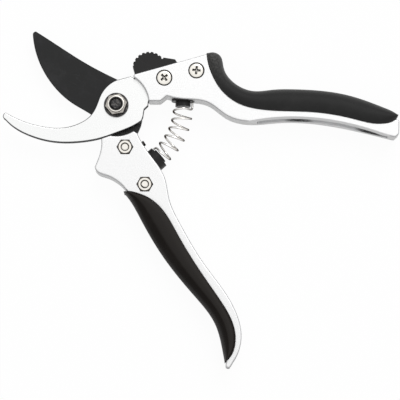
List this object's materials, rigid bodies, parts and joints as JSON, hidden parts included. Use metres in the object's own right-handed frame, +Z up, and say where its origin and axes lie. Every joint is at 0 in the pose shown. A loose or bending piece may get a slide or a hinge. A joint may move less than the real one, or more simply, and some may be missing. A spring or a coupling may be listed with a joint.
{
  "type": "pruning shears",
  "caption": "Bypass pruning shears with a curved hook, a coated cutting blade, cast handles with soft grips, a return spring and a sliding lock, lying open.",
  "frame": {"origin": "centre of the pivot bolt head's underside, on the plane the shears lie on", "axes": "+Z up along the pivot's axis, +X from the pivot towards the end of the upper handle, blade and hook towards -X"},
  "size_m": [0.2093, 0.1794, 0.0171],
  "materials": {
    "cast_alloy": "satin blasted cast alloy",
    "bright_plate": "satin plated hook with a bright edge",
    "black_coating": "black non-stick coating",
    "black_rubber": "soft matt grip",
    "black_plastic": "matt moulded",
    "nickel": "nickel plated",
    "black_oxide": "black oxide on steel",
    "steel": "bare ground steel"
  },
  "bodies": {
    "hook_side": {"upper_handle": "cast_alloy", "upper_grip": "black_rubber", "hook_blade": "bright_plate", "hook_screws": "nickel", "hook_nuts": "nickel", "upper_spring_seat": "black_plastic", "pivot_bolt": "black_oxide", "pivot_back_washer": "steel", "pivot_washer": "black_oxide", "pivot_nut": "nickel", "pivot_nut_insert": "black_plastic", "return_spring": "steel", "lock_leaf_spring": "steel"},
    "blade_side": {"lower_handle": "cast_alloy", "lower_grip": "black_rubber", "cutting_blade": "black_coating", "blade_screws": "nickel", "blade_nuts": "nickel", "lower_spring_seat": "black_plastic", "stop_bumper": "black_rubber"},
    "lock": {"lock_button": "black_plastic", "lock_plate": "steel", "lock_pin": "steel"}
  },
  "joints": [
    {"name": "pivot_hinge", "type": "hinge", "parent": "hook_side", "child": "blade_side", "pos_m": [0, 0, 0.008], "axis": [0, 0, 1], "range_deg": [0, 46.5], "stiffness_Nm_per_rad": 1.5, "springref_deg": -5.73, "deforming": ["return_spring"]},
    {"name": "lock_slide", "type": "slide", "parent": "hook_side", "child": "lock", "axis": [-0.9622, -0.2723, 0], "range_m": [0, 0.004]}
  ]
}
